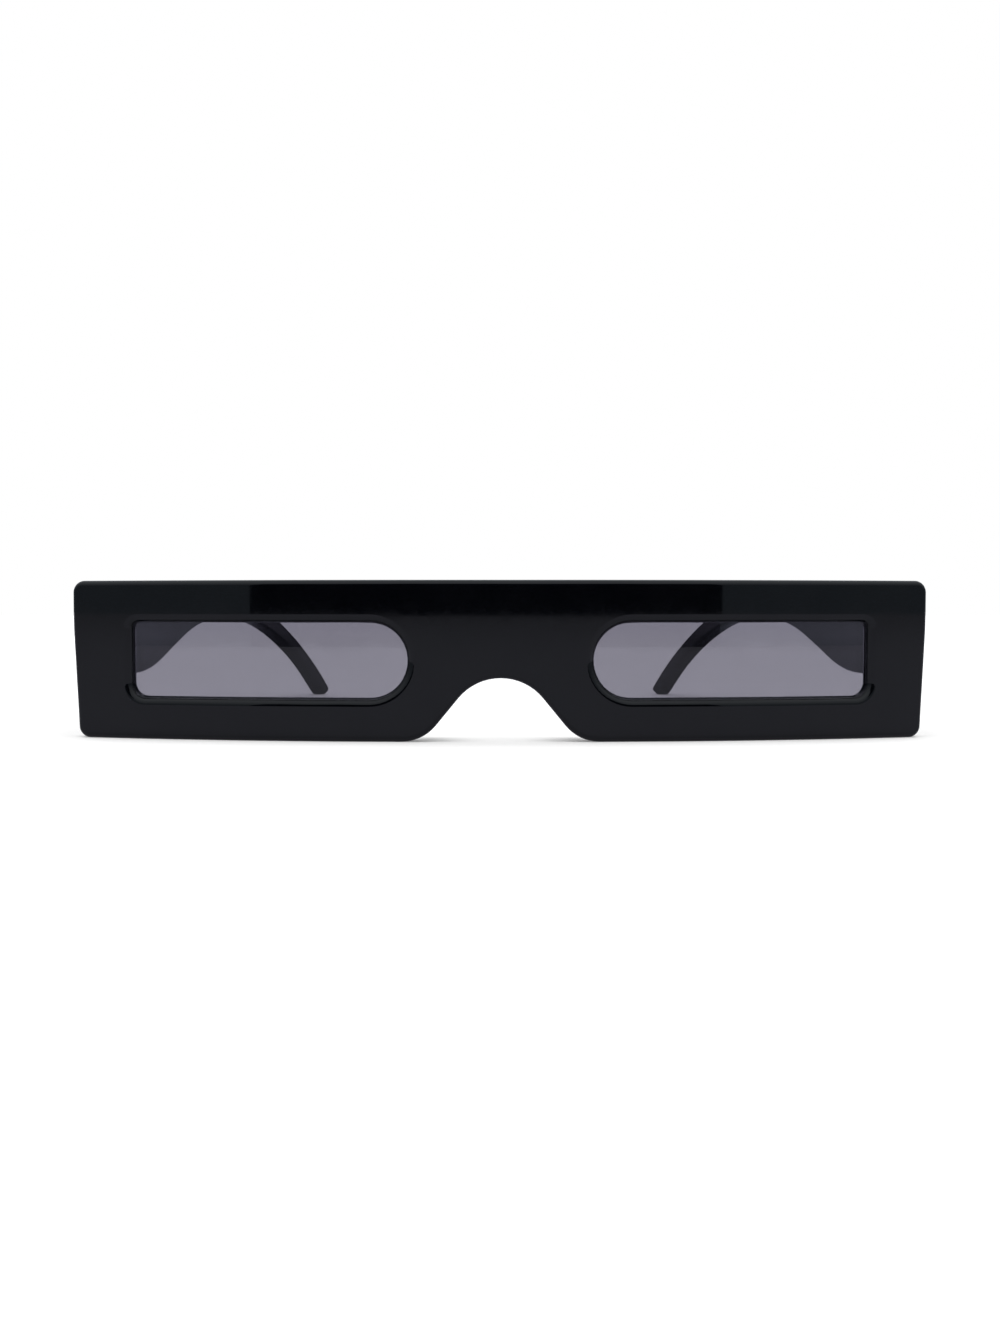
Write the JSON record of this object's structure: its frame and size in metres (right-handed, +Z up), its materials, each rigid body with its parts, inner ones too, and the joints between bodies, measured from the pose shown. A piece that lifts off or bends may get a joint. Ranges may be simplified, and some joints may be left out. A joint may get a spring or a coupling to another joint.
{
  "type": "narrow rectangle sunglasses",
  "caption": "Narrow rectangle sunglasses with a thick curved bar front, slim tinted lenses, an arched bridge and hinged, bowed temples.",
  "frame": {"origin": "on the ground that the open sunglasses stand on, under the middle of the whole object", "axes": "+Z up, the front faces -Y, the temples run back along +Y, +X is the wearer's left"},
  "size_m": [0.145, 0.14, 0.0266],
  "materials": {
    "frame_acetate": "polished",
    "temple_acetate": "polished",
    "pad_acetate": "polished",
    "lens_tint": "polished",
    "hinge_metal": "satin",
    "screw_steel": "satin",
    "rivet_metal": "satin",
    "core_wire": "satin"
  },
  "bodies": {
    "front": {"front_frame": "frame_acetate", "lens_left": "lens_tint", "lens_right": "lens_tint", "nose_pad_left": "pad_acetate", "nose_pad_right": "pad_acetate", "front_hinge_left": "hinge_metal", "front_hinge_right": "hinge_metal", "hinge_screw_left": "screw_steel", "hinge_screw_right": "screw_steel"},
    "left_temple": {"temple_left": "temple_acetate", "temple_hinge_left": "hinge_metal", "temple_core_left": "core_wire", "temple_rivets_left": "rivet_metal"},
    "right_temple": {"temple_right": "temple_acetate", "temple_hinge_right": "hinge_metal", "temple_core_right": "core_wire", "temple_rivets_right": "rivet_metal"}
  },
  "joints": [
    {"name": "left_temple_hinge", "type": "hinge", "parent": "front", "child": "left_temple", "pos_m": [0.0661, -0.0553, 0.01765], "axis": [0, 0, 1], "range_deg": [0, 79]},
    {"name": "right_temple_hinge", "type": "hinge", "parent": "front", "child": "right_temple", "pos_m": [-0.0661, -0.0553, 0.01765], "axis": [0, 0, -1], "range_deg": [0, 69]}
  ]
}
